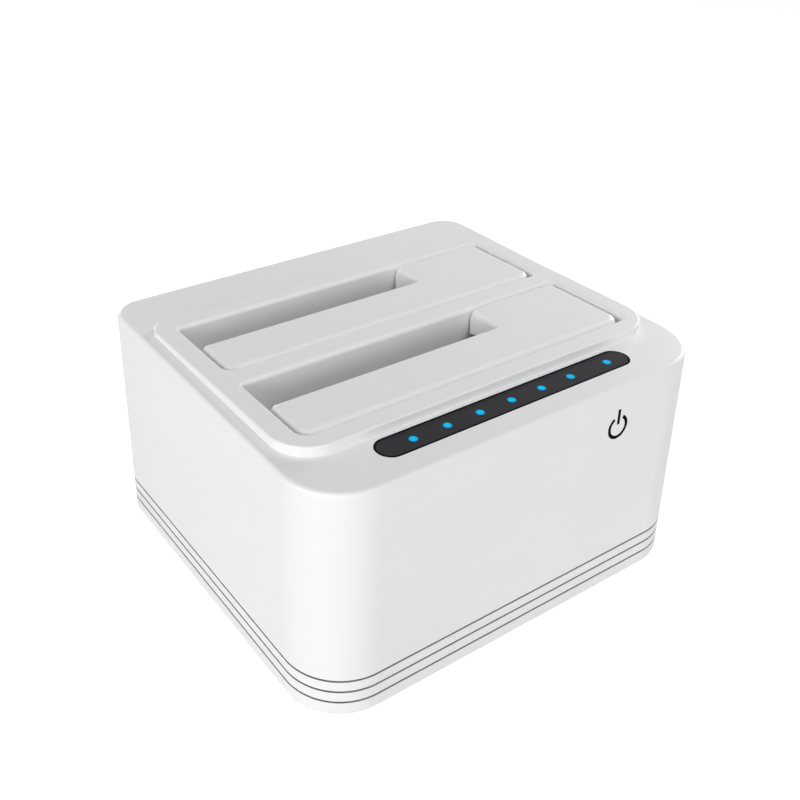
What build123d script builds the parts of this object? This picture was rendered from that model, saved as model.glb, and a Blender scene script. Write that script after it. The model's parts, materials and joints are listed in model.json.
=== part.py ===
from build123d import *
import math
import os

# Two-bay hard drive docking station. Lengths in mm, +Z up, front face towards -Y.
# The origin is on the table, under the middle of the body.

# Body shell
body_width = 128.0
body_depth = 113.4
front_corner_radius = 16.4
rear_corner_radius = 8.2
foot_height = 1.2
deck_height_front = 67.35
deck_rise = 1.95
wall_thickness = 2.2
deck_thickness = 2.4
deck_edge_radius = 1.1

# Grooves round the body: centre heights, and the parting line of the base
groove_height_top = 12.15
groove_height_middle = 8.75
parting_height = 5.35
groove_width = 0.6
groove_depth = 1.0

# Raised plate on the deck
plate_side_margin = 3.7
plate_front_margin = 16.4
plate_back_margin = 19.5
plate_rise = 1.15
plate_thickness = 2.0
plate_front_corner_radius = 11.2
plate_rear_corner_radius = 5.0
plate_edge_radius = 0.5
spigot_clearance = 0.1

# Hole in the deck under the plate: how far the plate overlaps its edges
deck_hole_side_overlap = 3.3
deck_hole_front_overlap = 0.9
deck_hole_back_overlap = 1.2
deck_hole_front_radius = 8.0
deck_hole_rear_radius = 1.5

# Drive bays: the rear one is written out, the front one is one pitch further forward
bay_bar_width = 7.25
bay_centre_x = 0.0
throat_side_margin = 3.1
throat_front_margin = 6.2
throat_back_margin = 5.95
throat_front_left_radius = 3.6
throat_front_right_radius = 1.5
throat_back_radius = 1.0
rim_radius = 1.45

# Sprung flaps
flap_drop = 0.05
flap_thickness = 2.4
flap_skirt_depth = 5.0
flap_skirt_thickness = 1.5
flap_step_web_depth = 8.0
flap_side_gap = 0.45
flap_front_gap = 0.3
flap_back_gap = 0.55
flap_wide_length = 32.5
flap_strip_share = 0.575
flap_front_left_radius = 3.8
flap_front_right_radius = 4.0
flap_back_left_radius = 2.0
flap_hook_radius = 1.0
flap_nose_radius = 2.0
flap_back_edge_radius = 0.8
flap_rib_thickness = 1.2
flap_rib_depth = 3.6
flap_rib_count = 5

# Hinges under the bars of the plate
pin_set_back = 2.9
pin_drop = 4.45
pin_radius = 1.0
pin_end_margin = 8.25
pin_fit = 0.05
pin_chamfer = 0.1
eye_radius = 2.0
arm_width = 5.0
arm_end_margin = 9.0
arm_low_drop = 2.0
stop_gap = 0.3
ear_thickness = 2.4
ear_radius = 1.9
ear_end_margin = 2.0
ear_inner_spread = 8.0

# Torsion springs round the hinge pins
spring_wire_radius = 0.3
spring_wire_sides = 8
spring_coil_radius = 1.55
spring_pitch = 1.1
spring_turns = 5
spring_start_angle = 18.0
spring_end_angle = 45.0
spring_plate_leg = 2.3
spring_points_per_turn = 4
spring_gap_points_per_turn = 24
spring_flap_leg = 3.8

# Well that holds the drives, one moulding with two pockets
well_wall = 1.2
well_floor_top = 14.5
well_floor_thickness = 1.5
pocket_front_room = 5.8
pocket_drop = 32.6
seat_set_back = 2.5
seat_slope_drop = 36.0
guide_rib_reach = 2.15
guide_rib_thickness = 1.5
guide_rib_top_gap = 0.4
guide_rib_lead = 2.5
guide_rib_inset = 4.0
guide_rib_connector_gap = 2.0
well_screw_margin = 5.0
well_tab_margin = 2.6
well_tab_width = 8.0
well_tab_thickness = 2.0
well_tab_corner_radius = 2.0
well_tab_drop = 9.35
well_tab_front_margin = 7.3
well_tab_back_margin = 11.2

# Data and power connectors on the main board
connector_margin = 33.0
connector_set_back = 4.25
connector_length = 44.6
connector_width = 7.2
connector_height = 10.4
connector_guide_width = 3.0
connector_guide_height = 1.8
connector_guide_chamfer = 0.45
slot_depth = 6.5
slot_thickness = 2.5
signal_slot_length = 11.2
power_slot_length = 21.6
slot_bridge = 2.6
slot_key_length = 1.6
slot_key_depth = 1.9
contact_pitch = 1.27
contact_width = 0.5
contact_thickness = 0.4
contact_height = 5.0
signal_contacts = 7
power_contacts = 15

# Boards
board_thickness = 1.6
board_side_margin = 7.0
board_front_margin = 7.7
board_back_margin = 5.7
board_front_corner_width = 13.0
board_front_corner_depth = 9.0
board_rear_corner_width = 7.5
board_rear_corner_depth = 9.5
board_height = 7.0
board_corner_radius = 1.5
board_screw_margin = 18.0
board_screw_front_margin = 26.7
board_screw_back_margin = 20.7

# Parts on the main board
chip_size = 10.0
chip_height = 0.9
chip_chamfer = 0.22
bridge_chip_rocker_gap = 8.0
bridge_chip_margin = 14.4
clone_chip_margin = 27.0
clone_chip_y = -8.0
chip_lead_width = 0.35
chip_lead_length = 1.2
chip_lead_pitch = 0.9
chip_lead_thickness = 0.2
chip_lead_count = 10
capacitor_radius = 3.15
capacitor_height = 4.0
capacitor_base = 0.8
capacitor_chamfer = 0.4
capacitor_side_margins = (7.0, 15.0)
capacitor_back_margins = (21.5, 29.5)
inductor_size = 6.6
inductor_height = 3.0
inductor_corner_radius = 1.6
inductor_chamfer = 0.4
inductor_side_margin = 23.0
inductor_back_margins = (6.5, 14.5)
crystal_length = 11.0
crystal_width = 4.6
crystal_height = 3.4
crystal_corner_radius = 1.5
crystal_chamfer = 0.55
crystal_gap = 0.4

# Rear recess for the sockets
recess_side_margin = 14.0
recess_depth = 3.0
recess_low_height = 7.4
recess_high_height = 26.8
recess_corner_radius = 2.0
port_stand = 0.5
port_gap = 0.25

# Square data socket
usb_rocker_gap = 30.0
usb_width = 12.04
usb_height = 12.9
usb_length = 18.8
usb_wall = 0.35
usb_shoulder_height = 7.6
usb_neck_height = 8.8
usb_neck_half_width = 4.9
usb_tongue_width = 5.6
usb_tongue_height = 3.2
usb_tongue_length = 8.9
usb_tongue_low = 2.7
usb_upper_tongue_width = 8.0
usb_upper_tongue_height = 2.0
usb_upper_tongue_low = 8.9
usb_back_depth = 9.8
usb_contact_width = 0.9
usb_contact_thickness = 0.2
usb_contact_pitch = 2.5
usb_upper_contact_pitch = 1.5
usb_upper_contact_count = 5

# Round power inlet
inlet_margin = 24.0
inlet_width = 9.4
inlet_height = 11.2
inlet_length = 13.0
inlet_bore_radius = 3.2
inlet_bore_depth = 9.5
inlet_nose_radius = 4.2
inlet_nose_length = 2.7
inlet_centre_rise = 6.4
inlet_pin_radius = 1.0
inlet_pin_set_back = 1.0
inlet_pin_edge_radius = 0.5

# Power rocker
rocker_margin = 42.0
rocker_height = 17.2
rocker_flange_width = 11.0
rocker_flange_height = 17.4
rocker_flange_thickness = 1.2
rocker_flange_radius = 0.8
rocker_barrel_width = 9.6
rocker_barrel_height = 14.8
rocker_barrel_length = 11.0
rocker_cavity_width = 7.6
rocker_cavity_height = 13.2
rocker_cavity_depth = 8.0
rocker_pivot_set_back = 3.4
rocker_pin_radius = 0.8
rocker_pin_length = 0.7
rocker_side_gap = 0.3
rocker_face_rise = 3.4
rocker_half_height = 5.2
rocker_side_rise = 1.4
rocker_tail = 1.6
rocker_tail_half_height = 2.6
rocker_terminal_width = 1.8
rocker_terminal_thickness = 0.8
rocker_terminal_pitch = 3.0
rocker_terminal_count = 3
rocker_throw = 10.0

# Copy button and its switch
button_margin = 24.0
button_height = 15.1
button_radius = 3.0
button_fit = 0.08
button_proud = 1.6
button_flange_radius = 3.9
button_flange_thickness = 1.0
button_edge_radius = 0.4
button_stem_radius = 1.1
button_stem_length = 3.4
button_rest_gap = 0.3
switch_width = 7.0
switch_height = 9.0
switch_length = 5.0
switch_bore_depth = 3.4
switch_face_gap = 1.6

# Smoked light window near the front of the deck
window_end_margin = 22.5
window_centre_x = 0.5
window_front_margin = 7.0
window_width = 8.1
window_thickness = 1.6
window_ledge = 1.2
window_gap = 0.05
led_shares = (-0.746, -0.4972, -0.248, 0.0019, 0.2487, 0.4969, 0.8234)
led_front_margin = 10.83
led_length = 3.2
led_width = 2.6
led_height = 1.4
led_chamfer = 0.28
pipe_radius = 1.2
led_board_drop = 7.35
led_board_end_reach = 5.3
led_board_front_margin = 4.3
led_board_width = 10.4
led_screw_reach = 3.1
led_pocket_gap = 0.3
shroud_end_inset = 0.4
shroud_front_margin = 6.3
shroud_width = 8.0

# Touch pad board behind the power mark
mark_margin = 34.85
mark_drop = 12.45
mark_outer_radius = 3.6
mark_stroke = 1.0
mark_gap_angle = 34.0
mark_bar_start = 0.8
mark_bar_end = 5.4
mark_bar_width = 1.0
mark_depth = 0.3
touch_half_width = 8.0
touch_reach_down = 8.8
touch_reach_up = 3.2
touch_thickness = 1.2

# Ribbons and their sockets
ribbon_width = 9.0
ribbon_thickness = 0.3
ribbon_x = -12.0
ribbon_margin = 9.7
ribbon_low_margin = 11.2
touch_ribbon_width = 4.0
touch_ribbon_drop = 2.8
ribbon_bend_low = 16.0
ribbon_bend_high = 26.0
socket_height = 2.4
socket_width = 2.6
socket_margin = 1.0

# Base, bosses, screws and feet
base_floor_thickness = 2.0
lip_height = 3.0
lip_thickness = 1.0
lip_gap = 0.1
boss_radius = 3.2
boss_front_side_margin = 13.0
boss_front_margin = 10.7
boss_rear_side_margin = 8.8
boss_rear_margin = 9.7
boss_meet_height = 13.0
base_boss_radius = 4.3
base_edge_radius = 0.8
screw_radius = 1.25
screw_hole_clearance = 0.35
screw_head_radius = 2.6
screw_head_height = 1.8
screw_head_clearance = 0.4
screw_counterbore = 3.6
screw_bite = 8.0
driver_radius = 1.3
driver_depth = 1.0
driver_sides = 6
head_edge_chamfer = 0.6
small_screw_bite = 4.5
vent_length = 22.0
vent_width = 2.4
vent_pitch = 6.0
vent_count = 7
vent_row_y = 18.0
foot_radius = 6.0
foot_recess = 0.6
foot_edge_chamfer = 0.4
foot_side_margin = 20.0
foot_front_margin = 14.7
foot_rear_margin = 18.7
pad_radius = 2.6

# Snap hooks of the plate
hook_width = 7.0
hook_thickness = 1.2
hook_reach = 1.0
hook_height = 2.4
hook_share = 0.322

# Sizes that follow from the ones above
half_width = body_width / 2
half_depth = body_depth / 2
deck_slope = deck_rise / body_depth
half_groove = groove_width / 2
shell_low_height = parting_height + half_groove
base_high_height = parting_height - half_groove
far = 2 * body_width

# Plate, deck hole and bays, from the body inwards
plate_half_width = half_width - plate_side_margin
plate_front_y = plate_front_margin - half_depth
plate_back_y = half_depth - plate_back_margin
plate_top_height = deck_height_front + deck_rise + plate_rise
plate_low_height = plate_top_height - plate_thickness
deck_hole_half_width = plate_half_width - deck_hole_side_overlap
deck_hole_front_y = plate_front_y + deck_hole_front_overlap
deck_hole_back_y = plate_back_y - deck_hole_back_overlap
bay_room = plate_back_y - plate_front_y - throat_front_margin - throat_back_margin
bay_depth = (bay_room - bay_bar_width) / 2
bay_pitch = bay_depth + bay_bar_width
throat_half_width = deck_hole_half_width - throat_side_margin
throat_back_y = plate_back_y - throat_back_margin
throat_front_y = throat_back_y - bay_depth
bays = (0, -bay_pitch)
bay_names = ("rear", "front")

# Flaps, hinges and the well under them
flap_top_height = plate_top_height - flap_drop
flap_low_height = flap_top_height - flap_skirt_depth
flap_step_x = bay_centre_x + throat_half_width - flap_wide_length
flap_strip_back_y = throat_front_y + flap_strip_share * bay_depth
pin_y = throat_front_y - pin_set_back
pin_height = plate_top_height - pin_drop
pin_half_length = throat_half_width - pin_end_margin
arm_spread = pin_half_length - arm_end_margin
ear_spread = pin_half_length - ear_end_margin
pocket_front_y = throat_front_y - pocket_front_room
pocket_low_height = pin_height - pocket_drop
seat_front_y = throat_front_y + seat_set_back
seat_slope_height = pin_height - seat_slope_drop
well_screw_x = half_width - well_screw_margin
well_tab_end_x = half_width - well_tab_margin
well_tab_height = deck_height_front - well_tab_drop
well_tab_ys = (plate_front_y + well_tab_front_margin, plate_back_y - well_tab_back_margin)
hook_middle_y = sum(well_tab_ys) / 2
hook_pitch = hook_share * (well_tab_ys[1] - well_tab_ys[0])
hook_ys = (hook_middle_y - hook_pitch, hook_middle_y, hook_middle_y + hook_pitch)

# Rear sockets
recess_right_x = half_width - recess_side_margin
recess_left_x = -recess_right_x
port_face_y = half_depth - recess_depth
port_mouth_y = port_face_y + port_stand
inlet_x = half_width - inlet_margin
rocker_x = half_width - rocker_margin
usb_x = rocker_x - usb_rocker_gap
button_x = button_margin - half_width

# Main board and what stands on it
board_half_width = half_width - board_side_margin
board_front_half_width = board_half_width - board_front_corner_width
board_rear_half_width = board_half_width - board_rear_corner_width
board_front_y = board_front_margin - half_depth
board_back_y = half_depth - board_back_margin
board_front_shoulder_y = board_front_y + board_front_corner_depth
board_rear_shoulder_y = board_back_y - board_rear_corner_depth
board_screw_x = half_width - board_screw_margin
board_screw_ys = (board_screw_front_margin - half_depth, half_depth - board_screw_back_margin)
board_top = board_height + board_thickness
connector_x = connector_margin - half_width
connector_y = throat_back_y - connector_set_back
bridge_chip_x = rocker_x - bridge_chip_rocker_gap
bridge_chip_y = half_depth - bridge_chip_margin
clone_chip_x = board_half_width - clone_chip_margin
crystal_x = bridge_chip_x
crystal_y = connector_y + (connector_width + crystal_width) / 2 + crystal_gap

# Light window, lights and the mark
window_half_length = half_width - window_end_margin
window_front_y = window_front_margin - half_depth
window_back_y = window_front_y + window_width
led_xs = [window_centre_x + share * window_half_length for share in led_shares]
led_y = led_front_margin - half_depth
led_board_top = deck_height_front - led_board_drop
led_board_half_length = window_half_length + led_board_end_reach
led_board_front_y = led_board_front_margin - half_depth
led_board_back_y = led_board_front_y + led_board_width
led_screw_x = window_half_length + led_screw_reach
shroud_half_length = window_half_length - shroud_end_inset
shroud_front_y = shroud_front_margin - half_depth
shroud_back_y = shroud_front_y + shroud_width
mark_x = half_width - mark_margin
mark_height = deck_height_front - mark_drop
ribbon_y = ribbon_margin - half_depth
ribbon_low_y = ribbon_low_margin - half_depth

# Base, bosses and feet
base_floor_top = foot_height + base_floor_thickness
boss_front_x = half_width - boss_front_side_margin
boss_front_y = boss_front_margin - half_depth
boss_rear_x = half_width - boss_rear_side_margin
boss_rear_y = half_depth - boss_rear_margin
foot_x = half_width - foot_side_margin
foot_front_y = foot_front_margin - half_depth
foot_rear_y = half_depth - foot_rear_margin
foot_names = ("front_left", "front_right", "rear_left", "rear_right")
corner_signs = ((-1, -1), (1, -1), (1, 1), (-1, 1))


def deck_height(y):
    return deck_height_front + (y + half_depth) * deck_slope


def near(points, x, y):
    return min(points, key=lambda p: (p.X - x) ** 2 + (p.Y - y) ** 2)


def outline(corners):
    # closed face from (x, y, corner radius) points
    face = make_face(Polyline(*[(x, y) for x, y, radius in corners], close=True)).face()
    for x, y, radius in corners:
        if radius > 0:
            face = face.fillet_2d(radius, [near(face.vertices(), x, y)])
    return face


def prism(face, low, high):
    return Solid.extrude(Pos(0, 0, low) * face, (0, 0, high - low))


def side_prism(points, left, right):
    # the points are (y, z); the prism runs from left to right along X
    face = make_face(Polyline(*points, close=True)).face()
    return Solid.extrude(Pos(left, 0, 0) * (Plane.YZ * face), (right - left, 0, 0))


def block(x0, x1, y0, y1, z0, z1):
    middle = Pos((x0 + x1) / 2, (y0 + y1) / 2, (z0 + z1) / 2)
    return middle * Box(abs(x1 - x0), abs(y1 - y0), abs(z1 - z0))


def post(x, y, z0, z1, radius):
    return Pos(x, y, (z0 + z1) / 2) * Cylinder(radius, z1 - z0)


def rod_x(x0, x1, y, z, radius):
    return Pos((x0 + x1) / 2, y, z) * Rot(0, 90, 0) * Cylinder(radius, x1 - x0)


def rod_y(x, y0, y1, z, radius):
    return Pos(x, (y0 + y1) / 2, z) * Rot(90, 0, 0) * Cylinder(radius, y1 - y0)


def save(name, shape):
    export_step(shape, "parts/" + name + ".step")
    print(name, len(shape.solids()), round(shape.volume, 2))


def join(pieces):
    whole = pieces[0]
    for piece in pieces[1:]:
        whole = whole + piece
    return whole


def body_outline(inset):
    x = half_width - inset
    y = half_depth - inset
    front = front_corner_radius - inset
    rear = rear_corner_radius - inset
    return outline([(-x, -y, front), (x, -y, front), (x, y, rear), (-x, y, rear)])


def under_deck(drop, front_y, back_y):
    # everything lower than the deck surface moved down by drop
    low_z = -far
    return side_prism(
        [
            (front_y, low_z),
            (back_y, low_z),
            (back_y, deck_height(back_y) - drop),
            (front_y, deck_height(front_y) - drop),
        ],
        -far,
        far,
    )


def deck_hole(inset):
    x = deck_hole_half_width - inset
    front_y = deck_hole_front_y + inset
    back_y = deck_hole_back_y - inset
    front = deck_hole_front_radius - inset
    rear = deck_hole_rear_radius - inset
    return outline([(-x, front_y, front), (x, front_y, front), (x, back_y, rear), (-x, back_y, rear)])


def throat(inset, shift):
    left = bay_centre_x - throat_half_width + inset
    right = bay_centre_x + throat_half_width - inset
    front = throat_front_y + shift + inset
    back = throat_back_y + shift - inset
    return outline(
        [
            (left, front, throat_front_left_radius),
            (right, front, throat_front_right_radius),
            (right, back, throat_back_radius),
            (left, back, throat_back_radius),
        ]
    )


def groove_ring(height):
    outer = prism(body_outline(0), height - half_groove, height + half_groove)
    inner = prism(body_outline(groove_depth), height - half_groove, height + half_groove)
    return outer - inner


def stadium(inset):
    # the window's outline: a strip with round ends
    radius = window_width / 2 - inset
    centre_y = window_front_y + window_width / 2
    straight = window_half_length - window_width / 2
    left_x = window_centre_x - straight
    right_x = window_centre_x + straight
    left = post(left_x, centre_y, 0, far, radius)
    right = post(right_x, centre_y, 0, far, radius)
    middle = block(left_x, right_x, centre_y - radius, centre_y + radius, 0, far)
    return left + middle + right


def mark_shape(depth):
    # broken ring and bar of the power mark, set into the front face
    face_y = -half_depth
    ring = rod_y(mark_x, face_y, face_y + depth, mark_height, mark_outer_radius)
    ring = ring - rod_y(mark_x, face_y, face_y + depth, mark_height, mark_outer_radius - mark_stroke)
    reach = 2 * mark_outer_radius
    half = math.radians(mark_gap_angle)
    wedge = make_face(
        Polyline((0, 0), (reach * math.sin(half), reach), (-reach * math.sin(half), reach), close=True)
    ).face()
    gap = Pos(mark_x, face_y + depth, mark_height) * (Plane.XZ * wedge)
    ring = ring - Solid.extrude(gap, (0, -depth, 0))
    bar = block(
        mark_x - mark_bar_width / 2,
        mark_x + mark_bar_width / 2,
        face_y,
        face_y + depth,
        mark_height + mark_bar_start,
        mark_height + mark_bar_end,
    )
    return ring + bar


def corner_bosses():
    return [
        (-boss_front_x, boss_front_y),
        (boss_front_x, boss_front_y),
        (boss_rear_x, boss_rear_y),
        (-boss_rear_x, boss_rear_y),
    ]


def port_cuts():
    # openings of the rear recess floor, each a little larger than its socket
    y0 = port_face_y - 2 * wall_thickness
    y1 = half_depth
    usb_half = usb_width / 2 + port_gap
    usb_cut = block(
        usb_x - usb_half, usb_x + usb_half, y0, y1, board_top - port_gap, board_top + usb_height + port_gap
    )
    inlet_z = board_top + inlet_centre_rise
    inlet_cut = rod_y(inlet_x, y0, y1, inlet_z, inlet_nose_radius + port_gap)
    barrel_half = rocker_barrel_width / 2
    rocker_cut = block(
        rocker_x - barrel_half,
        rocker_x + barrel_half,
        y0,
        y1,
        rocker_height - rocker_barrel_height / 2,
        rocker_height + rocker_barrel_height / 2,
    )
    button_cut = rod_y(button_x, y0, y1, button_height, button_radius + button_fit)
    return [usb_cut, inlet_cut, rocker_cut, button_cut]


def make_upper_housing():
    shell = prism(body_outline(0), shell_low_height, far) & under_deck(0, -far, far)
    top = shell.faces().sort_by(Axis.Z)[-1]
    shell = fillet(top.outer_wire().edges(), deck_edge_radius)
    inside = prism(body_outline(wall_thickness), 0, far) & under_deck(deck_thickness, -far, far)
    shell = shell - inside
    # thicker rear wall behind the recess, then the recess itself
    inner_y = port_face_y - wall_thickness
    pad = block(
        recess_left_x - wall_thickness,
        recess_right_x + wall_thickness,
        inner_y,
        half_depth - wall_thickness,
        shell_low_height,
        recess_high_height + wall_thickness,
    )
    shell = shell + pad
    low = recess_low_height
    corner = recess_corner_radius
    mouth = outline(
        [
            (recess_left_x, low, corner),
            (recess_right_x, low, corner),
            (recess_right_x, recess_high_height, corner),
            (recess_left_x, recess_high_height, corner),
        ]
    )
    shell = shell - Solid.extrude(Pos(0, half_depth, 0) * (Plane.XZ * mouth), (0, -recess_depth, 0))
    for cut in port_cuts():
        shell = shell - cut
    for height in (groove_height_top, groove_height_middle):
        shell = shell - groove_ring(height)
    # posts for the base screws, from the deck down
    posts = []
    for x, y in corner_bosses():
        posts.append(post(x, y, boss_meet_height, far, boss_radius) & under_deck(deck_thickness, -far, far))
    for side in (-1, 1):
        x = window_centre_x + side * led_screw_x
        posts.append(post(x, led_y, led_board_top, far, boss_radius) & under_deck(deck_thickness, -far, far))
        for y in well_tab_ys:
            low_z = well_tab_height + well_tab_thickness
            x = side * well_screw_x
            posts.append(post(x, y, low_z, far, pad_radius) & under_deck(deck_thickness, -far, far))
    shell = join([shell] + posts)
    shell = shell - prism(deck_hole(0), deck_height_front - deck_thickness - spigot_clearance, far)
    # window seat: the whole strip down to its ledge, a smaller slot through
    seat = stadium(-window_gap) - under_deck(window_thickness, -far, far)
    shell = shell - seat - (stadium(window_ledge) - under_deck(2 * deck_thickness, -far, far))
    for x, y in corner_bosses():
        shell = shell - post(x, y, boss_meet_height, boss_meet_height + screw_bite, screw_radius)
    for side in (-1, 1):
        x = window_centre_x + side * led_screw_x
        shell = shell - post(x, led_y, led_board_top, led_board_top + small_screw_bite, screw_radius)
        for y in well_tab_ys:
            low_z = well_tab_height + well_tab_thickness
            shell = shell - post(side * well_screw_x, y, low_z, low_z + small_screw_bite, screw_radius)
    return shell - mark_shape(mark_depth)


def well_left():
    return bay_centre_x - throat_half_width - well_wall


def well_right():
    return bay_centre_x + throat_half_width + well_wall


def pocket_profile(shift):
    # inside of one pocket: wide where the folded flap hangs, a seat below it
    back = throat_back_y + shift
    return [
        (pocket_front_y + shift, far),
        (pocket_front_y + shift, pocket_low_height),
        (seat_front_y + shift, seat_slope_height),
        (seat_front_y + shift, well_floor_top),
        (back, well_floor_top),
        (back, far),
    ]


def tub_profile():
    # outside of the whole well, one wall thickness away from both pockets
    slope = math.atan2(seat_front_y - pocket_front_y, pocket_low_height - seat_slope_height)
    drop = well_wall * math.tan(slope / 2)
    front = pocket_front_y - bay_pitch - well_wall
    seat = seat_front_y - bay_pitch - well_wall
    low = well_floor_top - well_floor_thickness
    return [
        (front, far),
        (front, pocket_low_height - drop),
        (seat, seat_slope_height - drop),
        (seat, low),
        (throat_back_y + well_wall, low),
        (throat_back_y + well_wall, far),
    ]


def make_drive_well():
    left = well_left()
    right = well_right()
    corner = throat_back_radius + well_wall
    front = tub_profile()[0][0]
    plan = outline(
        [
            (left, front, corner),
            (right, front, corner),
            (right, throat_back_y + well_wall, corner),
            (left, throat_back_y + well_wall, corner),
        ]
    )
    tub = side_prism(tub_profile(), left, right) & prism(plan, 0, plate_low_height)
    for shift in bays:
        inner = outline(
            [
                (left + well_wall, pocket_front_y + shift, throat_back_radius),
                (right - well_wall, pocket_front_y + shift, throat_back_radius),
                (right - well_wall, throat_back_y + shift, throat_back_radius),
                (left + well_wall, throat_back_y + shift, throat_back_radius),
            ]
        )
        tub = tub - (side_prism(pocket_profile(shift), left, right) & prism(inner, 0, far))
        # the connector comes up through the floor
        half_x = connector_length / 2 + port_gap
        half_y = connector_width / 2 + port_gap
        y = connector_y + shift
        hole_left = connector_x - half_x
        hole_right = connector_x + half_x
        tub = tub - block(hole_left, hole_right, y - half_y, y + half_y, 0, well_floor_top)
    # ribs that hold the drive sideways, before the connector and behind the seat's edge
    for shift in bays:
        back_rib_y = connector_y - connector_width / 2 - guide_rib_connector_gap
        for rib_y in (seat_front_y + guide_rib_inset, back_rib_y):
            for side in (-1, 1):
                tub = tub + guide_rib(side, rib_y + shift)
    # what lies outside the hole in the deck stops under the deck
    around_hole = prism(body_outline(0), 0, far) - prism(deck_hole(spigot_clearance), 0, far)
    tub = tub - (around_hole - under_deck(deck_thickness, -far, far))
    for side in (-1, 1):
        for y in well_tab_ys:
            tub = tub + well_tab(side, y)
    for side in (-1, 1):
        for y in well_tab_ys:
            hole = screw_radius + screw_hole_clearance
            tub = tub - post(side * well_screw_x, y, 0, far, hole)
    return tub


def guide_rib(side, y):
    # stands on the floor, with a slope at the top that leads the drive in
    wall_x = bay_centre_x + side * throat_half_width
    face_x = wall_x - side * guide_rib_reach
    top = pocket_low_height - guide_rib_top_gap
    points = [
        (wall_x, well_floor_top),
        (face_x, well_floor_top),
        (face_x, top - guide_rib_lead),
        (wall_x, top),
    ]
    face = make_face(Polyline(*points, close=True)).face()
    half = guide_rib_thickness / 2
    return Solid.extrude(Pos(0, y + half, 0) * (Plane.XZ * face), (0, -guide_rib_thickness, 0))


def well_tab(side, y):
    edge = well_right() if side > 0 else well_left()
    inner = edge - side * well_wall / 2
    outer = side * well_tab_end_x
    low = well_tab_height
    high = low + well_tab_thickness
    tab = block(inner, outer, y - well_tab_width / 2, y + well_tab_width / 2, low, high)
    ends = [e for e in tab.edges().filter_by(Axis.Z) if abs(e.center().X - outer) < well_wall]
    tab = fillet(ends, well_tab_corner_radius)
    return tab + gusset(inner, outer, y, low)


def gusset(inner, outer, y, top):
    # a small web under the edge of a tab
    points = [(inner, top), (outer, top), (inner, top - abs(outer - inner))]
    face = make_face(Polyline(*points, close=True)).face()
    start = y + well_tab_width / 2
    return Solid.extrude(Pos(0, start, 0) * (Plane.XZ * face), (0, -well_wall, 0))


def make_top_plate():
    x = plate_half_width
    plan = outline(
        [
            (-x, plate_front_y, plate_front_corner_radius),
            (x, plate_front_y, plate_front_corner_radius),
            (x, plate_back_y, plate_rear_corner_radius),
            (-x, plate_back_y, plate_rear_corner_radius),
        ]
    )
    plate = prism(plan, deck_height_front - deck_thickness, plate_top_height)
    for shift in bays:
        plate = plate - prism(throat(0, shift), 0, far)
    top = plate.faces().sort_by(Axis.Z)[-1]
    plate = fillet(top.outer_wire().edges(), plate_edge_radius)
    top = plate.faces().sort_by(Axis.Z)[-1]
    rims = []
    for wire in top.inner_wires():
        rims = rims + list(wire.edges())
    plate = fillet(rims, rim_radius)
    # over the deck it stands on the sloping surface, inside the hole it is an even panel
    spigot = prism(deck_hole(spigot_clearance), 0, far)
    landing = under_deck(0, -far, far) - spigot
    panel_gap = spigot & prism(body_outline(0), 0, plate_low_height)
    plate = plate - landing - panel_gap
    extras = []
    for shift in bays:
        for x in ear_xs():
            extras.append(hinge_ear(x, shift))
    for side in (-1, 1):
        for y in hook_ys:
            extras.append(snap_hook(side, y))
    plate = join([plate] + extras)
    for shift in bays:
        low = bay_centre_x - pin_half_length
        plate = plate - rod_x(low, low + 2 * pin_half_length, pin_y + shift, pin_height, pin_radius)
    return plate


def ear_xs():
    spots = (-ear_spread, -ear_inner_spread, ear_inner_spread, ear_spread)
    return [bay_centre_x + x for x in spots]


def hinge_ear(x, shift):
    # a rounded ear that hangs under the bar and holds the pin
    half = ear_thickness / 2
    y = pin_y + shift
    eye = rod_x(x - half, x + half, y, pin_height, ear_radius)
    root = block(x - half, x + half, y - ear_radius, y + ear_radius, pin_height, plate_low_height)
    return eye + root


def snap_hook(side, y):
    hole_x = side * (deck_hole_half_width - spigot_clearance)
    catch = deck_height(y - hook_width / 2) - deck_thickness
    inner_x = hole_x - side * hook_thickness
    half = hook_width / 2
    points = [
        (inner_x, plate_low_height),
        (hole_x, plate_low_height),
        (hole_x, catch),
        (hole_x + side * hook_reach, catch),
        (hole_x, catch - hook_height),
        (inner_x, catch - hook_height),
    ]
    face = make_face(Polyline(*points, close=True)).face()
    return Solid.extrude(Pos(0, y + half, 0) * (Plane.XZ * face), (0, -hook_width, 0))


def flap_corners(inset):
    left = bay_centre_x - throat_half_width + flap_side_gap + inset
    right = bay_centre_x + throat_half_width - flap_side_gap - inset
    front = throat_front_y + flap_front_gap + inset
    back = throat_back_y - flap_back_gap - inset
    strip = flap_strip_back_y - inset
    step = flap_step_x + inset
    return left, right, front, back, strip, step


def flap_outline(inset):
    left, right, front, back, strip, step = flap_corners(inset)
    return outline(
        [
            (left, front, max(flap_front_left_radius - inset, 0)),
            (right, front, max(flap_front_right_radius - inset, 0)),
            (right, back, 0),
            (step, back, 0),
            (step, strip, flap_hook_radius + inset),
            (left, strip, max(flap_back_left_radius - inset, 0)),
        ]
    )


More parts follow.
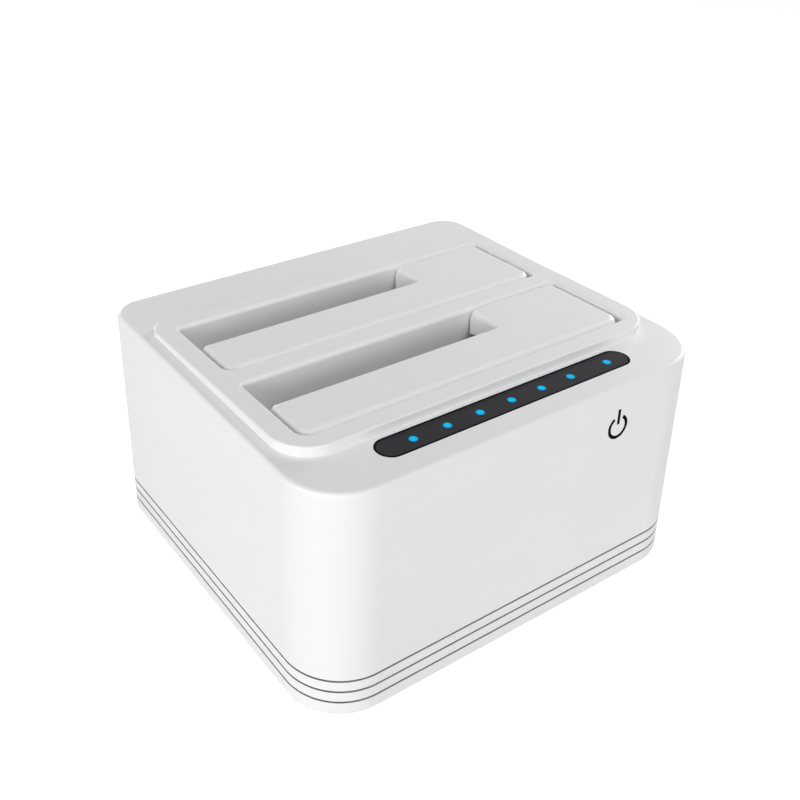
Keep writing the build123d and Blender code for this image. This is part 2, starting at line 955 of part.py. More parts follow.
def make_flap(shift):
    left, right, front, back, strip, step = flap_corners(0)
    flap = prism(flap_outline(0), flap_low_height, flap_top_height)
    top = flap.faces().sort_by(Axis.Z)[-1]
    soft_edges = [e for e in top.edges() if abs(e.center().Y - back) >= flap_back_edge_radius]
    flap = fillet(soft_edges, flap_nose_radius)
    top = flap.faces().sort_by(Axis.Z)[-1]
    back_edges = [e for e in top.edges() if abs(e.center().Y - back) < flap_back_edge_radius]
    flap = fillet(back_edges, flap_back_edge_radius)
    hollow_top = flap_top_height - flap_thickness
    flap = flap - prism(flap_outline(flap_skirt_thickness), 0, hollow_top)
    # stiffening ribs across the hollow
    ribs = []
    inner_left = left + flap_skirt_thickness / 2
    inner_right = right - flap_skirt_thickness / 2
    span = inner_right - inner_left
    for index in range(flap_rib_count):
        x = inner_left + span * (index + 1) / (flap_rib_count + 1)
        reach = back if x - flap_rib_thickness > step else strip
        half = flap_rib_thickness / 2
        ribs.append(
            block(
                x - half,
                x + half,
                front + flap_skirt_thickness / 2,
                reach - flap_skirt_thickness / 2,
                hollow_top + flap_rib_depth - flap_skirt_depth,
                hollow_top,
            )
        )
    # the skirt at the step runs deeper towards the back
    web_low = flap_top_height - flap_step_web_depth
    web_points = [(strip, flap_low_height), (back, web_low), (back, hollow_top), (strip, hollow_top)]
    web = side_prism(web_points, step, step + flap_skirt_thickness)
    flap = join([flap, web] + ribs)
    # arms that pass under the bar to the pin
    for side in (-1, 1):
        flap = flap + hinge_arm(bay_centre_x + side * arm_spread, front)
    bore = pin_radius + pin_fit
    for side in (-1, 1):
        x = bay_centre_x + side * arm_spread
        flap = flap - rod_x(x - arm_width, x + arm_width, pin_y, pin_height, bore)
    return Pos(0, shift, 0) * flap


def hinge_arm(x, front):
    half = arm_width / 2
    eye = rod_x(x - half, x + half, pin_y, pin_height, eye_radius)
    high = plate_low_height - stop_gap
    low = pin_height - arm_low_drop
    inner = front + flap_skirt_thickness / 2
    stop_start = throat_front_y - eye_radius
    points = [
        (pin_y, low),
        (inner, low),
        (inner, high),
        (stop_start, high),
        (pin_y, pin_height + eye_radius),
    ]
    return eye + side_prism(points, x - half, x + half)


def make_hinge_pin(shift):
    low = bay_centre_x - pin_half_length
    pin = rod_x(low, low + 2 * pin_half_length, pin_y + shift, pin_height, pin_radius)
    return chamfer(pin.edges(), pin_chamfer)


def biarc(start, end, start_tangent, end_tangent):
    # two tangent arcs between two points with given directions
    span = end - start
    turn = 2 * (1 - start_tangent.dot(end_tangent))
    along = span.dot(start_tangent + end_tangent)
    reach = (math.sqrt(along**2 + turn * span.dot(span)) - along) / turn
    first = start + start_tangent * reach
    last = end - end_tangent * reach
    middle = (first + last) * 0.5
    return [
        TangentArc(start, middle, tangent=start_tangent),
        TangentArc(middle, end, tangent=last - first),
    ]


def coil_point(angle):
    # point and direction on the rear coil; the angle runs from the top towards +Y and down
    turned = math.radians(angle)
    start_x = bay_centre_x + spring_turns * spring_pitch / 2
    x = start_x - spring_pitch * angle / 360
    y = pin_y + spring_coil_radius * math.sin(turned)
    z = pin_height + spring_coil_radius * math.cos(turned)
    rise = spring_pitch / (2 * math.pi * spring_coil_radius)
    direction = Vector(-rise, math.cos(turned), -math.sin(turned)).normalized()
    return Vector(x, y, z), direction


def make_spring():
    # torsion spring round the rear pin, one leg under the bar of the plate, one under the flap
    first = spring_start_angle
    last = spring_turns * 360 + spring_end_angle
    steps = spring_points_per_turn * spring_turns
    angles = [first + (last - first) * index / steps for index in range(steps + 1)]
    spots = [coil_point(angle) for angle in angles]
    start, start_way = spots[0]
    end, end_way = spots[-1]
    edges = [Line(start - start_way * spring_plate_leg, start)]
    for (a, way_a), (b, way_b) in zip(spots[:-1], spots[1:]):
        edges = edges + biarc(a, b, way_a, way_b)
    edges.append(Line(end, end + end_way * spring_flap_leg))
    path = Wire(edges)
    profile = Plane(origin=path @ 0, z_dir=path % 0) * RegularPolygon(spring_wire_radius, spring_wire_sides)
    return sweep(profile, path=path)


def spring_self_gap():
    # least gap between neighbouring turns, measured on points
    count = spring_gap_points_per_turn * spring_turns
    spots = [coil_point(spring_turns * 360 * index / count)[0] for index in range(count + 1)]
    gaps = []
    for index, spot in enumerate(spots):
        for other in spots[index + spring_gap_points_per_turn // 2 :]:
            gaps.append((other - spot).length - 2 * spring_wire_radius)
    return min(gaps)


def make_base_cover():
    base = prism(body_outline(0), foot_height, base_high_height)
    bottom = base.faces().sort_by(Axis.Z)[0]
    base = fillet(bottom.outer_wire().edges(), base_edge_radius)
    base = base - prism(body_outline(wall_thickness), base_floor_top, far)
    # inner half of the wall carries the housing, and closes the parting groove
    step = prism(body_outline(groove_depth), base_high_height, shell_low_height)
    step = step - prism(body_outline(wall_thickness), base_high_height, shell_low_height)
    lip_inset = wall_thickness + lip_gap
    lip = prism(body_outline(lip_inset), base_floor_top, shell_low_height + lip_height)
    lip = lip - prism(body_outline(lip_inset + lip_thickness), base_floor_top, far)
    behind = recess_right_x + wall_thickness + lip_gap
    lip = lip - block(
        -behind, behind, port_face_y - wall_thickness - lip_gap, half_depth, shell_low_height - lip_gap, far
    )
    bridge = prism(body_outline(wall_thickness), base_floor_top, base_high_height)
    bridge = bridge - prism(body_outline(lip_inset), base_floor_top, base_high_height)
    base = base + step + bridge + lip
    for x, y in corner_bosses():
        base = base + post(x, y, foot_height + base_edge_radius, boss_meet_height, base_boss_radius)
    for x, y in board_screw_spots():
        base = base + post(x, y, base_floor_top, board_height, boss_radius)
    for x, y in corner_bosses():
        head_top = foot_height + screw_counterbore
        base = base - post(x, y, 0, head_top, screw_head_radius + screw_head_clearance)
        base = base - post(x, y, 0, far, screw_radius + screw_hole_clearance)
    for x, y in board_screw_spots():
        base = base - post(x, y, foot_height + base_floor_thickness / 2, far, screw_radius)
    for x, y in foot_spots():
        base = base - post(x, y, 0, foot_height + foot_recess, foot_radius)
    for index in range(vent_count):
        x = (index - (vent_count - 1) / 2) * vent_pitch
        for y in (-vent_row_y, vent_row_y):
            base = base - vent(x, y)
    return base


def vent(x, y):
    end = vent_length / 2 - vent_width / 2
    half = vent_width / 2
    low = foot_height - base_floor_thickness
    slot = block(x - half, x + half, y - end, y + end, low, base_floor_top)
    for side in (-1, 1):
        slot = slot + post(x, y + side * end, low, base_floor_top, half)
    return slot


def board_screw_spots():
    return [(side * board_screw_x, y) for side in (-1, 1) for y in board_screw_ys]


def foot_spots():
    return [
        (-foot_x, foot_front_y),
        (foot_x, foot_front_y),
        (-foot_x, foot_rear_y),
        (foot_x, foot_rear_y),
    ]


def make_foot(x, y):
    foot = post(x, y, 0, foot_height + foot_recess, foot_radius)
    return chamfer(foot.edges().sort_by(Axis.Z)[0], foot_edge_chamfer)


def make_main_board():
    r = board_corner_radius
    corners = [
        (-board_front_half_width, board_front_y, r),
        (board_front_half_width, board_front_y, r),
        (board_front_half_width, board_front_shoulder_y, r),
        (board_half_width, board_front_shoulder_y, r),
        (board_half_width, board_rear_shoulder_y, r),
        (board_rear_half_width, board_rear_shoulder_y, r),
        (board_rear_half_width, board_back_y, r),
        (-board_rear_half_width, board_back_y, r),
        (-board_rear_half_width, board_rear_shoulder_y, r),
        (-board_half_width, board_rear_shoulder_y, r),
        (-board_half_width, board_front_shoulder_y, r),
        (-board_front_half_width, board_front_shoulder_y, r),
    ]
    board = prism(outline(corners), board_height, board_top)
    for x, y in board_screw_spots():
        board = board - post(x, y, 0, far, screw_radius + screw_hole_clearance)
    return board


def slot_spots():
    # middle of the power slot and of the signal slot, and their lengths
    total = power_slot_length + slot_bridge + signal_slot_length
    left = connector_x - total / 2
    power = left + power_slot_length / 2
    signal = left + total - signal_slot_length / 2
    return [(power, power_slot_length, power_contacts), (signal, signal_slot_length, signal_contacts)]


def make_connector(shift):
    y = connector_y + shift
    half_x = connector_length / 2
    half_y = connector_width / 2
    top = board_top + connector_height
    body = block(connector_x - half_x, connector_x + half_x, y - half_y, y + half_y, board_top, top)
    for side in (-1, 1):
        end = connector_x + side * half_x
        inner = end - side * connector_guide_width
        guide = block(end, inner, y - half_y, y + half_y, top, top + connector_guide_height)
        high = guide.faces().sort_by(Axis.Z)[-1]
        body = body + chamfer(high.edges(), connector_guide_chamfer)
    half_slot = slot_thickness / 2
    for x, length, count in slot_spots():
        half = length / 2
        slot = block(x - half, x + half, y - half_slot, y + half_slot, top - slot_depth, top)
        key_right = x - half + slot_key_length
        key = block(x - half, key_right, y - half_slot, y - slot_key_depth, top - slot_depth, top)
        body = body - slot - key
    return body


def make_contacts(shift):
    pieces = []
    back_y = connector_y + shift + slot_thickness / 2
    floor = board_top + connector_height - slot_depth
    half = contact_width / 2
    for x, length, count in slot_spots():
        for index in range(count):
            centre = x + (index - (count - 1) / 2) * contact_pitch
            pieces.append(
                block(
                    centre - half,
                    centre + half,
                    back_y - contact_thickness,
                    back_y,
                    floor,
                    floor + contact_height,
                )
            )
    return Compound(children=pieces)


def make_chip(x, y):
    half = chip_size / 2
    chip = block(x - half, x + half, y - half, y + half, board_top, board_top + chip_height)
    return chamfer(chip.faces().sort_by(Axis.Z)[-1].edges(), chip_chamfer)


def make_chip_leads():
    pieces = []
    for x, y in ((bridge_chip_x, bridge_chip_y), (clone_chip_x, clone_chip_y)):
        for index in range(chip_lead_count):
            along = (index - (chip_lead_count - 1) / 2) * chip_lead_pitch
            for side in (-1, 1):
                pieces.append(chip_lead(x + along, y, side, True))
                pieces.append(chip_lead(x, y + along, side, False))
    return Compound(children=pieces)


def chip_lead(x, y, side, across_y):
    near_end = side * chip_size / 2
    far_end = near_end + side * chip_lead_length
    half = chip_lead_width / 2
    high = board_top + chip_lead_thickness
    if across_y:
        return block(x - half, x + half, y + near_end, y + far_end, board_top, high)
    return block(x + near_end, x + far_end, y - half, y + half, board_top, high)


def board_spots(side_margins, back_margins):
    return [(board_half_width - x, board_rear_shoulder_y - y) for x in side_margins for y in back_margins]


def make_capacitors():
    pieces = []
    half = capacitor_radius
    for x, y in board_spots(capacitor_side_margins, capacitor_back_margins):
        low = block(x - half, x + half, y - half, y + half, board_top, board_top + capacitor_base)
        can = post(x, y, board_top, board_top + capacitor_height, capacitor_radius)
        can = chamfer(can.edges().sort_by(Axis.Z)[-1], capacitor_chamfer)
        pieces.append(low + can)
    return Compound(children=[piece.solid() for piece in pieces])


def make_inductors():
    pieces = []
    half = inductor_size / 2
    for x, y in board_spots([inductor_side_margin], inductor_back_margins):
        face = outline([(x + a * half, y + b * half, inductor_corner_radius) for a, b in corner_signs])
        coil = prism(face, board_top, board_top + inductor_height)
        pieces.append(chamfer(coil.faces().sort_by(Axis.Z)[-1].edges(), inductor_chamfer).solid())
    return Compound(children=pieces)


def make_crystal():
    x = crystal_length / 2
    y = crystal_width / 2
    corners = [(crystal_x + a * x, crystal_y + b * y, crystal_corner_radius) for a, b in corner_signs]
    can = prism(outline(corners), board_top, board_top + crystal_height)
    return chamfer(can.faces().sort_by(Axis.Z)[-1].edges(), crystal_chamfer)


def usb_profile(inset):
    # square lower part with a narrower upper part, as (x, z) points
    low = board_top + inset
    shoulder = board_top + usb_shoulder_height - inset / 2
    neck = board_top + usb_neck_height - inset / 2
    high = board_top + usb_height - inset
    wide = usb_width / 2 - inset
    narrow = usb_neck_half_width - inset
    points = [
        (usb_x - wide, low),
        (usb_x + wide, low),
        (usb_x + wide, shoulder),
        (usb_x + narrow, neck),
        (usb_x + narrow, high),
        (usb_x - narrow, high),
        (usb_x - narrow, neck),
        (usb_x - wide, shoulder),
    ]
    return make_face(Polyline(*points, close=True)).face()


def usb_solid(inset, mouth_y, length):
    face = Pos(0, mouth_y, 0) * (Plane.XZ * usb_profile(inset))
    return Solid.extrude(face, (0, -length, 0))


def make_usb_shell():
    shell = usb_solid(0, port_mouth_y, usb_length)
    return shell - usb_solid(usb_wall, port_mouth_y, usb_length - usb_wall)


def make_usb_tongue():
    insert = usb_solid(usb_wall, port_mouth_y - usb_back_depth, usb_length - usb_back_depth - usb_wall)
    root_y = port_mouth_y - usb_back_depth
    tip_y = root_y + usb_tongue_length
    half = usb_tongue_width / 2
    low = board_top + usb_tongue_low
    main = block(usb_x - half, usb_x + half, root_y, tip_y, low, low + usb_tongue_height)
    half = usb_upper_tongue_width / 2
    low = board_top + usb_upper_tongue_low
    upper = block(usb_x - half, usb_x + half, root_y, tip_y, low, low + usb_upper_tongue_height)
    return insert + main + upper


def make_usb_contacts():
    # two contacts above and two below the main tongue, a row under the upper one
    pieces = []
    root_y = port_mouth_y - usb_back_depth
    tip_y = root_y + usb_tongue_length - usb_contact_width
    low = board_top + usb_tongue_low
    half = usb_contact_width / 2
    for side in (-1, 1):
        x = usb_x + side * usb_contact_pitch / 2
        under = low - usb_contact_thickness
        over = low + usb_tongue_height
        pieces.append(block(x - half, x + half, root_y, tip_y, under, low))
        pieces.append(block(x - half, x + half, root_y, tip_y, over, over + usb_contact_thickness))
    upper = board_top + usb_upper_tongue_low
    for index in range(usb_upper_contact_count):
        x = usb_x + (index - (usb_upper_contact_count - 1) / 2) * usb_upper_contact_pitch
        pieces.append(block(x - half, x + half, root_y, tip_y, upper - usb_contact_thickness, upper))
    return Compound(children=pieces)


def make_inlet_body():
    half = inlet_width / 2
    back_y = port_mouth_y - inlet_length
    front_y = port_mouth_y - inlet_nose_length
    z = board_top + inlet_centre_rise
    body = block(inlet_x - half, inlet_x + half, back_y, front_y, board_top, board_top + inlet_height)
    body = body + rod_y(inlet_x, front_y, port_mouth_y, z, inlet_nose_radius)
    return body - rod_y(inlet_x, port_mouth_y - inlet_bore_depth, port_mouth_y, z, inlet_bore_radius)


def make_inlet_pin():
    z = board_top + inlet_centre_rise
    root_y = port_mouth_y - inlet_bore_depth
    pin = rod_y(inlet_x, root_y, port_mouth_y - inlet_pin_set_back, z, inlet_pin_radius)
    return fillet(pin.edges().sort_by(Axis.Y)[-1], inlet_pin_edge_radius)


def rocker_pivot_y():
    return port_face_y + rocker_flange_thickness - rocker_pivot_set_back


def make_rocker_frame():
    half_x = rocker_flange_width / 2
    half_z = rocker_flange_height / 2
    front_y = port_face_y + rocker_flange_thickness
    radius = rocker_flange_radius
    corners = [(rocker_x + a * half_x, rocker_height + b * half_z, radius) for a, b in corner_signs]
    flange = Pos(0, front_y, 0) * (Plane.XZ * outline(corners))
    frame = Solid.extrude(flange, (0, -rocker_flange_thickness, 0))
    half_x = rocker_barrel_width / 2
    half_z = rocker_barrel_height / 2
    frame = frame + block(
        rocker_x - half_x,
        rocker_x + half_x,
        port_face_y - rocker_barrel_length,
        port_face_y,
        rocker_height - half_z,
        rocker_height + half_z,
    )
    half_x = rocker_cavity_width / 2
    half_z = rocker_cavity_height / 2
    frame = frame - block(
        rocker_x - half_x,
        rocker_x + half_x,
        front_y - rocker_cavity_depth,
        front_y,
        rocker_height - half_z,
        rocker_height + half_z,
    )
    reach = rocker_barrel_width
    bore = rocker_pin_radius + pin_fit
    return frame - rod_x(rocker_x - reach, rocker_x + reach, rocker_pivot_y(), rocker_height, bore)


def make_power_rocker():
    # shallow V face, stored with its upper half pressed in
    rise = rocker_half_height * math.tan(math.radians(rocker_throw))
    half = rocker_cavity_width / 2 - rocker_side_gap
    tip = rocker_face_rise + rise
    points = [
        (rocker_face_rise, 0),
        (tip, rocker_half_height),
        (rocker_side_rise, rocker_half_height),
        (-rocker_tail, rocker_tail_half_height),
        (-rocker_tail, -rocker_tail_half_height),
        (rocker_side_rise, -rocker_half_height),
        (tip, -rocker_half_height),
    ]
    paddle = side_prism(points, -half, half)
    pin = half + rocker_side_gap + rocker_pin_length
    paddle = paddle + rod_x(-pin, pin, 0, 0, rocker_pin_radius)
    return Pos(rocker_x, rocker_pivot_y(), rocker_height) * Rot(rocker_throw, 0, 0) * paddle


def make_rocker_terminals():
    pieces = []
    half_x = rocker_terminal_width / 2
    half_y = rocker_terminal_thickness / 2
    high = rocker_height - rocker_barrel_height / 2
    back_y = port_face_y - rocker_barrel_length
    for index in range(rocker_terminal_count):
        y = back_y + rocker_terminal_pitch * (index + 1) - rocker_terminal_thickness
        pieces.append(block(rocker_x - half_x, rocker_x + half_x, y - half_y, y + half_y, board_top, high))
    return Compound(children=pieces)


def button_flange_y():
    return port_face_y - wall_thickness - button_rest_gap


def make_clone_button():
    tip_y = port_face_y + button_proud
    flange_y = button_flange_y()
    back_y = flange_y - button_flange_thickness
    cap = rod_y(button_x, flange_y, tip_y, button_height, button_radius)
    cap = fillet(cap.edges().sort_by(Axis.Y)[-1], button_edge_radius)
    cap = cap + rod_y(button_x, back_y, flange_y, button_height, button_flange_radius)
    return cap + rod_y(button_x, back_y - button_stem_length, back_y, button_height, button_stem_radius)


def make_clone_switch():
    face_y = button_flange_y() - button_flange_thickness - switch_face_gap
    half = switch_width / 2
    back_y = face_y - switch_length
    high = board_top + switch_height
    body = block(button_x - half, button_x + half, back_y, face_y, board_top, high)
    bore = button_stem_radius + button_fit
    return body - rod_y(button_x, face_y - switch_bore_depth, face_y, button_height, bore)


def make_led_window():
    strip = stadium(0) & under_deck(0, -far, far)
    return strip - under_deck(window_thickness, -far, far)


def make_light_shroud():
    left = window_centre_x - shroud_half_length
    right = window_centre_x + shroud_half_length
    shroud = block(left, right, shroud_front_y, shroud_back_y, led_board_top, far)
    shroud = shroud & under_deck(deck_thickness, -far, far)
    half_x = led_length / 2 + led_pocket_gap
    half_y = led_width / 2 + led_pocket_gap
    high = led_board_top + led_height + led_pocket_gap
    for x in led_xs:
        shroud = shroud - block(x - half_x, x + half_x, led_y - half_y, led_y + half_y, 0, high)
        shroud = shroud - post(x, led_y, 0, far, pipe_radius)
    return shroud


def make_light_pipes():
    low = led_board_top + led_height + led_pocket_gap
    pipes = []
    for x in led_xs:
        pipe = post(x, led_y, low, far, pipe_radius) & under_deck(window_thickness, -far, far)
        pipes.append(pipe.solid())
    return Compound(children=pipes)


def make_status_leds():
    lamps = []
    half_x = led_length / 2
    half_y = led_width / 2
    for x in led_xs:
        lamp = block(
            x - half_x, x + half_x, led_y - half_y, led_y + half_y, led_board_top, led_board_top + led_height
        )
        lamps.append(chamfer(lamp.faces().sort_by(Axis.Z)[-1].edges(), led_chamfer).solid())
    return Compound(children=lamps)


def make_led_board():
    left = window_centre_x - led_board_half_length
    right = window_centre_x + led_board_half_length
    r = board_corner_radius
    face = outline(
        [
            (left, led_board_front_y, r),
            (right, led_board_front_y, r),
            (right, led_board_back_y, r),
            (left, led_board_back_y, r),
        ]
    )
    board = prism(face, led_board_top - board_thickness, led_board_top)
    for side in (-1, 1):
        x = window_centre_x + side * led_screw_x
        board = board - post(x, led_y, 0, far, screw_radius + screw_hole_clearance)
    return board


def make_touch_board():
    face_y = wall_thickness - half_depth
    low = mark_height - touch_reach_down
    high = mark_height + touch_reach_up
    radius = board_corner_radius
    corners = [(mark_x + a * touch_half_width, low if b < 0 else high, radius) for a, b in corner_signs]
    face = Pos(0, face_y, 0) * (Plane.XZ * outline(corners))
    return Solid.extrude(face, (0, touch_thickness, 0))


def make_ribbon(x, width, top, top_y, low_y):
    half = ribbon_thickness / 2
    low = board_top + socket_height
    points = [
        (top_y - half, top),
        (top_y + half, top),
        (top_y + half, ribbon_bend_high),
        (low_y + half, ribbon_bend_low),
        (low_y + half, low),
        (low_y - half, low),
        (low_y - half, ribbon_bend_low),
        (top_y - half, ribbon_bend_high),
    ]
    return side_prism(points, x - width / 2, x + width / 2)


def make_led_ribbon():
    top = led_board_top - board_thickness - socket_height
    return make_ribbon(ribbon_x, ribbon_width, top, ribbon_y, ribbon_low_y)


def make_touch_ribbon():
    touch_y = wall_thickness - half_depth + touch_thickness + ribbon_thickness / 2
    top = mark_height - touch_ribbon_drop
    return make_ribbon(mark_x, touch_ribbon_width, top, touch_y, ribbon_low_y)


def make_ribbon_sockets():
    half_y = socket_width / 2
    under = led_board_top - board_thickness
    spots = [
        (ribbon_x, ribbon_y, ribbon_width, under - socket_height, under),
        (ribbon_x, ribbon_low_y, ribbon_width, board_top, board_top + socket_height),
        (mark_x, ribbon_low_y, touch_ribbon_width, board_top, board_top + socket_height),
    ]
    pieces = []
    for x, y, width, low, high in spots:
        half_x = width / 2 + socket_margin
        pieces.append(block(x - half_x, x + half_x, y - half_y, y + half_y, low, high))
    return Compound(children=pieces)


def screw(x, y, seat, tip):
    # pan head screw; the head is on the side of the seat away from the tip
    way = 1 if tip > seat else -1
    outer = seat - way * screw_head_height
    head = post(x, y, min(seat, outer), max(seat, outer), screw_head_radius)
    rim = head.edges().sort_by(Axis.Z)
    head = chamfer(rim[0] if way > 0 else rim[-1], head_edge_chamfer)
    shank = post(x, y, min(seat, tip), max(seat, tip), screw_radius)
    tool = Pos(x, y, outer) * RegularPolygon(driver_radius, driver_sides)
    return head + shank - Solid.extrude(tool.face(), (0, 0, way * driver_depth))


def screws(spots, seat, tip):
    return Compound(children=[screw(x, y, seat, tip).solid() for x, y in spots])


def well_screw_spots():
    return [(side * well_screw_x, y) for side in (-1, 1) for y in well_tab_ys]


def led_screw_spots():
    return [(window_centre_x + side * led_screw_x, led_y) for side in (-1, 1)]


save("upper_housing", make_upper_housing())
save("base_cover", make_base_cover())
save("drive_well", make_drive_well())
save("top_plate", make_top_plate())
spring = make_spring()
for name, shift in zip(bay_names, bays):
    save("flap_" + name, make_flap(shift))
    save("hinge_pin_" + name, make_hinge_pin(shift))
    save("flap_spring_" + name, Pos(0, shift, 0) * spring)
    save("sata_connector_" + name, make_connector(shift))
    save("sata_contacts_" + name, make_contacts(shift))
for name, (x, y) in zip(foot_names, foot_spots()):
    save("foot_" + name, make_foot(x, y))
save("main_board", make_main_board())
save("bridge_chip", make_chip(bridge_chip_x, bridge_chip_y))
save("clone_chip", make_chip(clone_chip_x, clone_chip_y))
save("chip_leads", make_chip_leads())
save("capacitors", make_capacitors())
save("inductors", make_inductors())
save("crystal", make_crystal())
save("usb_shell", make_usb_shell())
save("usb_tongue", make_usb_tongue())
save("usb_contacts", make_usb_contacts())
save("dc_inlet_body", make_inlet_body())
save("dc_inlet_pin", make_inlet_pin())
save("rocker_frame", make_rocker_frame())
save("power_rocker", make_power_rocker())
save("rocker_terminals", make_rocker_terminals())
save("clone_button", make_clone_button())
save("clone_switch", make_clone_switch())
save("led_window", make_led_window())
save("light_shroud", make_light_shroud())
save("light_pipes", make_light_pipes())
save("status_leds", make_status_leds())
save("led_board", make_led_board())
save("power_mark", mark_shape(mark_depth))
save("touch_board", make_touch_board())
save("led_ribbon", make_led_ribbon())
save("touch_ribbon", make_touch_ribbon())
save("ribbon_sockets", make_ribbon_sockets())
head_seat = foot_height + screw_counterbore
save("housing_screws", screws(corner_bosses(), head_seat, boss_meet_height + screw_bite - driver_depth))
save("board_screws", screws(board_screw_spots(), board_top, foot_height + base_floor_thickness))
save("well_screws", screws(well_screw_spots(), well_tab_height, well_tab_height + small_screw_bite))
led_seat = led_board_top - board_thickness
save("led_screws", screws(led_screw_spots(), led_seat, led_board_top + small_screw_bite / 2))
print("least gap between the turns of a flap spring", round(spring_self_gap(), 2))
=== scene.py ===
import json
import math

import bpy
import numpy as np
from mathutils import Matrix, Vector


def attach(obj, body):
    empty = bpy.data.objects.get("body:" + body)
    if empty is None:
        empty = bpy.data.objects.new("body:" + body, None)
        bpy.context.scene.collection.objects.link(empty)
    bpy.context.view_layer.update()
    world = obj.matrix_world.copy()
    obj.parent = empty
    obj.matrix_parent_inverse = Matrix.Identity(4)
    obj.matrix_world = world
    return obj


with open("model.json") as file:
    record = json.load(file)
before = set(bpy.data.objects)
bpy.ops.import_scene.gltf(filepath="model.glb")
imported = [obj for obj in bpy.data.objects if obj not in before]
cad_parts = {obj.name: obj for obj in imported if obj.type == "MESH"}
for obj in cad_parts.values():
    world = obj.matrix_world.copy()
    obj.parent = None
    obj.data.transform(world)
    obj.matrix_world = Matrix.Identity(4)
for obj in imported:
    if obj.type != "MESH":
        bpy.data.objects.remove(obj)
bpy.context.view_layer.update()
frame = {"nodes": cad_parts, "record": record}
nodes = frame["nodes"]
print("frame loaded:", len(nodes), "nodes")

mm = 0.001  # sizes given in mm are multiplied by this

# the photograph's camera: its place in mm, the way it looks, and its lens
cameraView = {
    "place": (-158.17, -205.23, 203.97),
    "aim": (0.5039, 0.7450, -0.4371),
    "sensorWidth": 36.0,
    "lens": 46.37,
    "shiftX": 0.0708,
    "shiftY": -0.1305,
    "clipStart": 0.01,
}


def makeCamera(view):
    data = bpy.data.cameras.new("photoCamera")
    data.sensor_width = view["sensorWidth"]
    data.lens = view["lens"]
    data.shift_x = view["shiftX"]
    data.shift_y = view["shiftY"]
    data.clip_start = view["clipStart"]
    camera = bpy.data.objects.new("photoCamera", data)
    turn = Vector(view["aim"]).to_track_quat("-Z", "Y")
    camera.matrix_world = Matrix.Translation(Vector(view["place"]) * mm) @ turn.to_matrix().to_4x4()
    bpy.context.scene.collection.objects.link(camera)
    bpy.context.scene.camera = camera


makeCamera(cameraView)
print("camera placed")


def linearFromHex(code):
    # each sRGB channel is undone with its own curve: a straight toe, then a power of 2.4
    channels = [int(code[i : i + 2], 16) / 255 for i in (1, 3, 5)]
    return tuple(c / 12.92 if c <= 0.04045 else ((c + 0.055) / 1.055) ** 2.4 for c in channels)


def colour(code):
    return (*linearFromHex(code), 1.0)


def addNode(tree, kind, settings=None, **inputs):
    # one node with its settings and inputs; an input is named as on the node, or in0, in1 by number,
    # and holds either a plain value or a link given as (node, output)
    node = tree.nodes.new(kind)
    for key, value in (settings or {}).items():
        setattr(node, key, value)
    for key, value in inputs.items():
        numbered = key.startswith("in") and key[2:].isdigit()
        socket = node.inputs[int(key[2:])] if numbered else node.inputs[key.replace("_", " ")]
        if isinstance(value, tuple) and len(value) == 2 and isinstance(value[0], bpy.types.Node):
            tree.links.new(value[0].outputs[value[1]], socket)
        else:
            socket.default_value = value
    return node


def addMath(tree, operation, first, second, clamp=False):
    settings = {"operation": operation, "use_clamp": clamp}
    return addNode(tree, "ShaderNodeMath", settings, in0=first, in1=second)


def newMaterial(name):
    material = bpy.data.materials.new(name)
    material.use_nodes = True
    material.node_tree.nodes.clear()
    return material, material.node_tree


# painted shade for the three grooves round the foot, a grey laid into them where they fall in shade. In
# mm: their heights, half a groove with a little over, and the socket recess, which is deeper than the
# grooves and so carries no painted shade
paintedGrooveShade = {
    "heights": (12.15, 8.75, 5.35),
    "half": 0.31,
    "colour": "#A3A4A6",
    "recessHalfWidth": 50.4,
    "recessMiddleY": 50.65,
    "recessHalfDepth": 5,
}


def withinBand(tree, value, centre, half):
    # 1 where the value lies within half of the centre, both given in mm
    return addNode(
        tree, "ShaderNodeMath", {"operation": "COMPARE"}, in0=value, in1=centre * mm, in2=half * mm
    )


def paintGrooveShade(tree, place, surface, look):
    # painted shade: grey in the height bands of the grooves, where they fall in shade, except inside the
    # socket recess
    where = addNode(tree, "ShaderNodeSeparateXYZ", Vector=(place, "Object"))
    shade = None
    for height in look["heights"]:
        band = withinBand(tree, (where, "Z"), height, look["half"])
        if shade is not None:
            band = addMath(tree, "ADD", (shade, "Value"), (band, "Value"))
        shade = band
    across = withinBand(tree, (where, "X"), 0, look["recessHalfWidth"])
    deep = withinBand(tree, (where, "Y"), look["recessMiddleY"], look["recessHalfDepth"])
    inRecess = addMath(tree, "MULTIPLY", (across, "Value"), (deep, "Value"))
    shade = addMath(tree, "SUBTRACT", (shade, "Value"), (inRecess, "Value"), clamp=True)
    blend = addNode(
        tree, "ShaderNodeMix", {"data_type": "RGBA"},
        in0=(shade, "Value"), in6=surface, in7=colour(look["colour"]),
    )
    return blend, 2  # the mix node's colour output


# how the noise behind every finish is made, and the part of its range that is used
noiseLook = {
    "grainDetail": 3.0,
    "grainRoughness": 0.55,
    "mottleDetail": 2.0,
    "mottleRoughness": 0.5,
    "low": 0.3,
    "high": 0.7,
}


